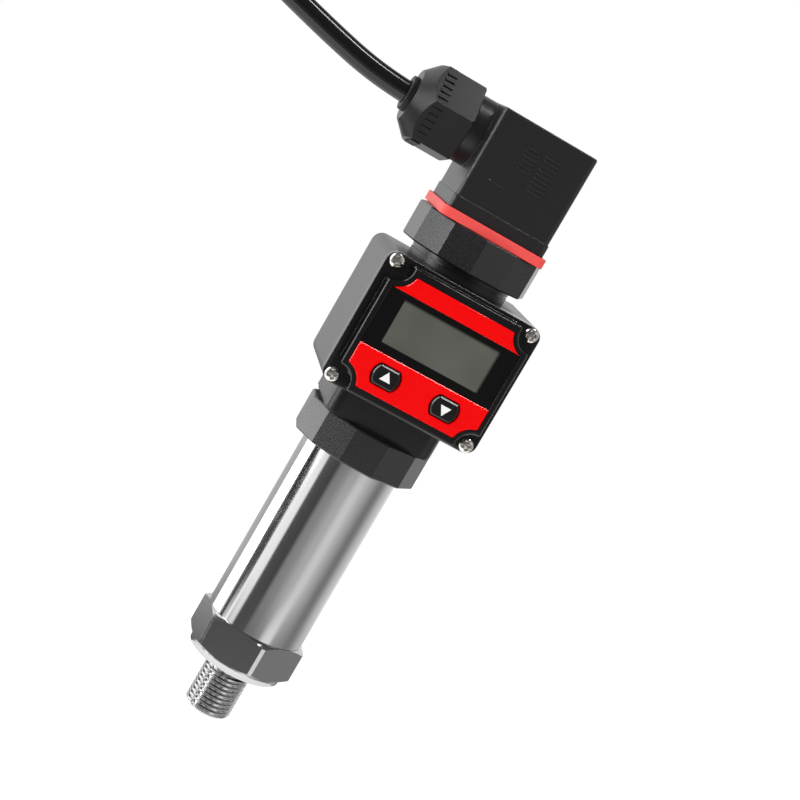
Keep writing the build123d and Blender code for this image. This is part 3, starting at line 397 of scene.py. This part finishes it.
# The dome is a superellipse. Each slot's depth fades over its side walls and towards its ends.
slots = [np.clip((slot_half_w - aside) / slot_wall, 0, 1) * np.clip((slot_reach - out) / slot_end, 0, 1)
         for out, aside in ((along, across), (across, along))]
proud = head_t * (1 - (reach / head_r) ** dome_shoulder) ** dome_fall - slot_depth * np.maximum(*slots)
back_y, front_y = screw_high.y / MM, screw_low.y / MM + head_t
reach = np.concatenate([[0, shaft_r, shaft_r], reach])
depth = np.hstack([np.tile([back_y, back_y, front_y], (len(turn), 1)), front_y - proud])
work = bmesh.new()
for x in (screw_low.x / MM + head_r, screw_high.x / MM - head_r):
    for z in (screw_low.z / MM + head_r, screw_high.z / MM - head_r):
        screw = np.stack([x + reach * np.cos(turn), depth, z + reach * np.sin(turn)], -1)
        add_grid(work, screw, close_u=True)
join_up(made_of(sealed(work), "nickel_screws", nickel, edge_angle=40), ["cover_screws"])

# Lock nut of the upper base and the loom: the nut is black nylon, and three wires run from the
# display board up to the blades, told apart by their satin blue, red and black insulation.
dress("base_locknut", nylon)
insulation, tree, shader, place = finish_of("wire insulation", "#1C3F9C", 0.4)
wire_split = 2.5
lay_over(tree, shader, where(tree, place, "X", "LESS_THAN", -wire_split), "#B51016")
lay_over(tree, shader, where(tree, place, "X", "GREATER_THAN", wire_split), "#1A1A1A")
dress("wire_loom", insulation)

# Profile gasket: a square ring of coral silicone between the upper base and the plug, moulded soft
# and matt, which the fixing screw presses tight.
silicone, tree, shader, place = finish_of("coral silicone", "#F0504C", 0.5)
grain(tree, shader, place, 0.3, (1, 1, 1), 0.004, 0.05)
edged("profile_gasket", "silicone_gasket", silicone, "gasket_red", 0.2)

# Plug shell: a satin black moulding with a skirt, a side boss and the gland's thread. Its front
# carries ladders of low moulded bars. The block inside, of pale matt nylon, holds the clamp screws.
shell_plastic, tree, shader, place = finish_of("satin black plastic", "#1D1B1C", 0.38)
grain(tree, shader, place, 0.3, (1, 1, 1), 0.003, 0.05)
edged("plug_shell", "plug_moulding", shell_plastic, "plug_black", 0.25)
bar_h, bar_pitch, bar_proud, bar_root, bar_square, tip_ease = 0.55, 1.2, 0.25, 0.1, 6, 0.2
shell_face_y = -13.85
# Each column: the middle and the width of its bars, the height of the lowest, and their number.
bar_columns = ((-1.8, 3.6, 152.6, 6), (3.8, 4.6, 149.0, 9), (-5.2, 6.0, 146.6, 1))
turn = once_round(48)
# A bar is a superellipse in plan and rises from its rim in a quarter round.
plan = (np.abs(np.cos(turn)) ** bar_square + np.abs(np.sin(turn)) ** bar_square) ** (-1 / bar_square)
shrink = np.array([0, 1, 1, 0.8, 0.4, 0])
rise = np.array([-bar_root, -bar_root, 0, 0.8 * bar_proud, bar_proud, bar_proud])
work = bmesh.new()
for bar_x, bar_w, first_z, count in bar_columns:
    for k in range(count):
        x = bar_x + (bar_w / 2 - bar_h / 2 * (1 - shrink)) * shrink**tip_ease * plan * np.cos(turn)
        z = first_z + k * bar_pitch + bar_h / 2 * shrink * plan * np.sin(turn)
        add_grid(work, np.stack([x, shell_face_y - rise + 0 * turn, z], -1), close_u=True)
bars = made_of(sealed(work), "plug_bars", shell_plastic)
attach(bars, "transmitter")
grey_nylon, tree, shader, place = finish_of("light grey nylon", "#B4B2AA", 0.45)
grain(tree, shader, place, 0.3, (1, 1, 1), 0.003, 0.05)
dress("terminal_block", grey_nylon)
dress("terminal_screws", zinc)
dress("fixing_seal", rubber)
dress("fixing_screw", zinc)

# Gland: a moulded black nylon nut, ribbed for the fingers behind its cone, presses a washer and a
# matt rubber seal onto the cable.
dress("gland_washer", grey_nylon)
edged("gland_seal", "gland_seal_rubber", rubber, "seal_black", 0.3)
edged("gland_nut", "gland_nut_moulding", nylon, "nut_black", 0.15)

# Lead: a round cable of 6 mm, about 1.5 m long. Its black sheath is extruded smooth, so it draws one
# thin bright line. It rises from the gland and hangs over, and its spare length is wound into a coil
# of six turns under a nylon tie.
sheath, tree, shader, place = finish_of("black cable sheath", "#100E10", 0.17)
grain(tree, shader, place, 2.0, (1, 1, 1), 0.0002, 0.03)
gland_exit = (-33.0, 0.0, 155.0)
cable_route = (
    (-43.0, 0.0, 155.0),
    (-62.0, 0.0, 158.9),
    (-89.0, 0.0, 166.0),
    (-116.0, 0.0, 161.5),
    (-136.0, 0.3, 146.0),
    (-144.0, 1.0, 124.0),
    (-142.0, 2.4, 102.0),
    (-132.4, 4.4, 79.8),
)
tail_route = (
    (-124.8, 11.5, 46.0),
    (-125.4, 12.4, 30.0),
    (-124.6, 12.0, 14.0),
)
coil_x, coil_z, coil_outer_r, coil_inner_r, coil_row = -156.0, 46.0, 36.0, 30.0, 6.0
coil_start, coil_turns, turn_points, step_turns = 26, 6, 12, 0.25
# The line runs inside its control points by this share, so they stand out from the coil by as much.
stand_out = 8 / (6 + 2 * cos(2 * pi / turn_points))


def step_at(t, start):
    """0 before start, 1 from step_turns after it on, and a smooth step between."""
    s = min(max((t - start) / step_turns, 0), 1)
    return s * s * (3 - 2 * s)


# Three turns lie side by side outside. Then the line drops inside them and comes back across the
# same three rows.
coil_route = []
for k in range(coil_turns * turn_points + 1):
    t = k / turn_points
    rows_out = step_at(t, 0.75) + step_at(t, 1.75)
    rows_back = step_at(t, 3.45) + step_at(t, 4.45) + 0.6 * step_at(t, 5.8)
    y = coil_row * (1 - rows_out + rows_back)
    r = (coil_outer_r + (coil_inner_r - coil_outer_r) * step_at(t, 2.75)) * stand_out
    phi = radians(coil_start - 360 * t)
    coil_route.append((coil_x + r * cos(phi), y, coil_z + r * sin(phi)))

cable_r = 3.0
curve = bpy.data.curves.new("lead", "CURVE")
curve.dimensions = "3D"
curve.bevel_depth = cable_r * MM
curve.bevel_resolution = 9
curve.use_fill_caps = True
curve.resolution_u = 12
spline = curve.splines.new("NURBS")
route = [gland_exit, *cable_route, *coil_route, *tail_route]
spline.points.add(len(route) - 1)
for point, at in zip(spline.points, route):
    point.co = (at[0] * MM, at[1] * MM, at[2] * MM, 1)
spline.order_u = 3
spline.use_endpoint_u = True
curve.materials.append(sheath)
lead = bpy.data.objects.new("lead", curve)
bpy.context.scene.collection.objects.link(lead)
join_up(lead, ["cable_run", "cable_coil", "cable_tail"])
tie = edged("coil_tie", "nylon_tie", nylon, "seal_grey", 0.2)
dress("cable_entry", sheath)

# Cores: three stranded copper wires in satin brown, blue and black insulation, fanned at both ends of
# the cable. The last millimetres of the free end are bare, and the copper shines there.
bundle_low, bundle_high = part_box("core_wires")
bundle_x, bundle_y = (bundle_low.x + bundle_high.x) / 2 / MM, (bundle_low.y + bundle_high.y) / 2 / MM
bare_length, plug_split_x, plug_split_y = 4.0, -7.0, 0.0
for node, split_x, split_y, bare_z in (("core_wires", bundle_x, bundle_y, bundle_low.z / MM + bare_length),
                                       ("plug_cores", plug_split_x, plug_split_y, None)):
    cores, tree, shader, place = finish_of(f"{node} insulation", "#5A3216", 0.4)
    lay_over(tree, shader, where(tree, place, "X", "LESS_THAN", split_x), "#1B4BA8")
    lay_over(tree, shader, where(tree, place, "Y", "LESS_THAN", split_y), "#1A1A1A")
    if bare_z is not None:
        is_bare = where(tree, place, "Z", "LESS_THAN", bare_z)
        lay_over(tree, shader, is_bare, "#D08A5A")
        tree.links.new(is_bare, shader.inputs["Metallic"])
    dress(node, cores)

# Studio: white paper below, a tent of pale and dark cloth round the object for the metal and the
# gloss to mirror, soft lamps, and the camera where the photograph was taken from.


def empty_material(name):
    """A material with an empty tree, and that tree."""
    made = bpy.data.materials.new(name)
    made.use_nodes = True
    made.node_tree.nodes.clear()
    return made, made.node_tree


def seen_share(tree):
    """1 for the rays that the camera, a mirror or glass sees, and 0 for those that only light things."""
    ray = add_node(tree, "ShaderNodeLightPath")
    seen = ray.outputs["Is Camera Ray"]
    for kind in ("Is Glossy Ray", "Is Transmission Ray"):
        seen = add_node(tree, "ShaderNodeMath", {"operation": "MAXIMUM"}, _0=seen, _1=ray.outputs[kind])
        seen = seen.outputs[0]
    return seen


paper, tree = empty_material("white paper")
paper_glow = 0.75
matt = add_node(tree, "ShaderNodeBsdfDiffuse", Color=linear("#E6E6E6"))
glow = add_node(tree, "ShaderNodeEmission", Color=(1, 1, 1, 1), Strength=paper_glow)
both = add_node(tree, "ShaderNodeAddShader", _0=matt.outputs[0], _1=glow.outputs[0])
mixed = add_node(tree, "ShaderNodeMixShader", _0=seen_share(tree), _1=matt.outputs[0], _2=both.outputs[0])
add_node(tree, "ShaderNodeOutputMaterial", Surface=mixed.outputs[0])
floor_z, floor_reach = -450, np.array([-3000.0, 3000.0])
across, deep = np.meshgrid(floor_reach, floor_reach, indexing="ij")
work = bmesh.new()
add_grid(work, np.stack([across, deep, np.full_like(across, floor_z)], -1))
made_of(work, "paper_floor", paper)

world = bpy.data.worlds.new("white room")
bpy.context.scene.world = world
world.use_nodes = True
tree = world.node_tree
back = tree.nodes["Background"]
back.inputs["Color"].default_value = (1, 1, 1, 1)
room_light = 0.35
level = add_node(tree, "ShaderNodeMapRange", Value=seen_share(tree), To_Min=room_light, To_Max=1.0)
tree.links.new(level.outputs[0], back.inputs["Strength"])

# The tent is a cylinder in three bands, whose brightness runs between stops. A stop is an angle in
# degrees, from -Y towards +X, and a level. The low band is mirrored by the port, the next by the
# tube, and the high one by the head.
low_band = ((-193, 0.2), (-138, 0.2), (-132, 1.3), (-97, 1.3), (-95, 0.03), (-89, 0.03), (-87, 1.6),
            (-74, 1.6), (-72, 0.05), (-66, 0.9), (-60, 0.9), (-54, 0.1), (-20, 0.18), (10, 0.18), (20, 1.3),
            (34, 1.3), (44, 0.2), (70, 0.3), (98, 0.3), (120, 0.6), (167, 0.2))
tube_band = ((-193, 0.62), (-135, 0.62), (-132, 4.4), (-102, 4.4), (-98, 0.12), (-80, 0.08), (-77, 1.45),
             (-57, 1.4), (-53, 0.12), (-28, 0.09), (-20, 0.36), (-6, 0.42), (10, 0.66), (19, 0.68),
             (29, 0.95), (38, 0.98), (48, 0.77), (62, 0.54), (77, 0.31), (86, 0.28), (95, 0.4), (105, 0.63),
             (117, 0.78), (132, 0.87), (150, 1.0), (167, 0.62))
high_band = ((-193, 0.9), (-165, 0.9), (-146, 1.6), (-124, 3.0), (-104, 3.0), (-96, 0.6), (-83, 0.6),
             (-81, 12), (-72, 12), (-70, 0.6), (-50, 0.3), (-36, 0.1), (0, 0.12), (20, 0.15), (35, 0.5),
             (50, 0.7), (66, 0.7), (80, 0.3), (98, 0.3), (110, 0.8), (167, 1.2))
roof_level, roof_hole, tent_reach, tent_top, seam = 0.15, 10, 800, 900, -193
tent_r = np.array([tent_reach] * 7 + [roof_hole])
tent_z = np.array([-440, -270, -200, -100, -50, tent_top, tent_top, tent_top])
angle = np.linspace(seam, seam + 360, 361)
bands = [np.interp(angle, *zip(*stops)) for stops in (low_band, tube_band, high_band)]
bands.append(np.full_like(angle, roof_level))
# Each band and the roof have two rows of points, and one blends into the next between their rows.
brightness = np.repeat(np.stack(bands, -1), 2, axis=1)
side = np.radians(angle)[:, None] + 0 * tent_z
work = bmesh.new()
add_grid(work, np.stack([tent_r * np.sin(side), -tent_r * np.cos(side), tent_z + 0 * side], -1))
cloth, tree = empty_material("tent cloth")
stops = add_node(tree, "ShaderNodeAttribute", {"attribute_name": "brightness"})
lit = add_node(tree, "ShaderNodeEmission", Strength=stops.outputs["Fac"], Color=(1, 1, 1, 1))
add_node(tree, "ShaderNodeOutputMaterial", Surface=lit.outputs[0])
tent = made_of(work, "tent", cloth)
tent.data.attributes.new("brightness", "FLOAT", "POINT").data.foreach_set("value", brightness.ravel())

# A softbox hangs just under the roof. The upper edges of bezel, labels and buttons mirror it as thin
# white lines.
softbox_x, softbox_y = np.array([112.0, 285.0]), np.array([-155.0, -60.0])
softbox_z, softbox_level = tent_top - 2, 25
across, deep = np.meshgrid(softbox_x, softbox_y, indexing="ij")
work = bmesh.new()
add_grid(work, np.stack([across, deep, np.full_like(across, softbox_z)], -1))
bulb, tree = empty_material("softbox cloth")
lit = add_node(tree, "ShaderNodeEmission", Strength=softbox_level, Color=(1, 1, 1, 1))
add_node(tree, "ShaderNodeOutputMaterial", Surface=lit.outputs[0])
softbox = made_of(work, "softbox", bulb)
for mirrored in (tent, softbox):
    mirrored.visible_camera = False
    mirrored.visible_diffuse = False
    mirrored.visible_transmission = False
    mirrored.visible_shadow = False

lamps = (
    ("left lamp", (-1.3, -0.5, 0.7), 14),
    ("front lamp", (-0.4, -1.5, 0.9), 10),
    ("right lamp", (1.3, -0.8, 0.5), 7),
)
lamp_size, aim = 0.9, Vector((0, 0, 0.08))
for name, at, power in lamps:
    light = bpy.data.lights.new(name, "AREA")
    light.size = lamp_size
    light.energy = power
    lamp = bpy.data.objects.new(name, light)
    lamp.location = at
    lamp.rotation_euler = (aim - Vector(at)).to_track_quat("-Z", "Y").to_euler()
    lamp.visible_glossy = False
    bpy.context.scene.collection.objects.link(lamp)

# The camera's place, turn and lens fit corners of the object measured in the photograph.
camera_at = Vector((-0.09874, -0.44308, 0.15365))
azimuth, pitch, roll = radians(-13.011), radians(8.654), radians(30.236)
ahead = Vector((-sin(azimuth) * cos(pitch), cos(azimuth) * cos(pitch), -sin(pitch)))
level_right = Vector((cos(azimuth), sin(azimuth), 0))
level_up = level_right.cross(ahead)
right = level_right * cos(roll) + level_up * sin(roll)
up = level_up * cos(roll) - level_right * sin(roll)
lens = bpy.data.cameras.new("camera")
lens.sensor_width = 36
lens.lens = 78.06
lens.clip_start, lens.clip_end = 0.01, 50
camera = bpy.data.objects.new("camera", lens)
camera.matrix_world = Matrix((
    (right.x, up.x, -ahead.x, camera_at.x),
    (right.y, up.y, -ahead.y, camera_at.y),
    (right.z, up.z, -ahead.z, camera_at.z),
    (0, 0, 0, 1),
))
bpy.context.scene.collection.objects.link(camera)
bpy.context.scene.camera = camera
bpy.context.scene.view_settings.view_transform = "Standard"
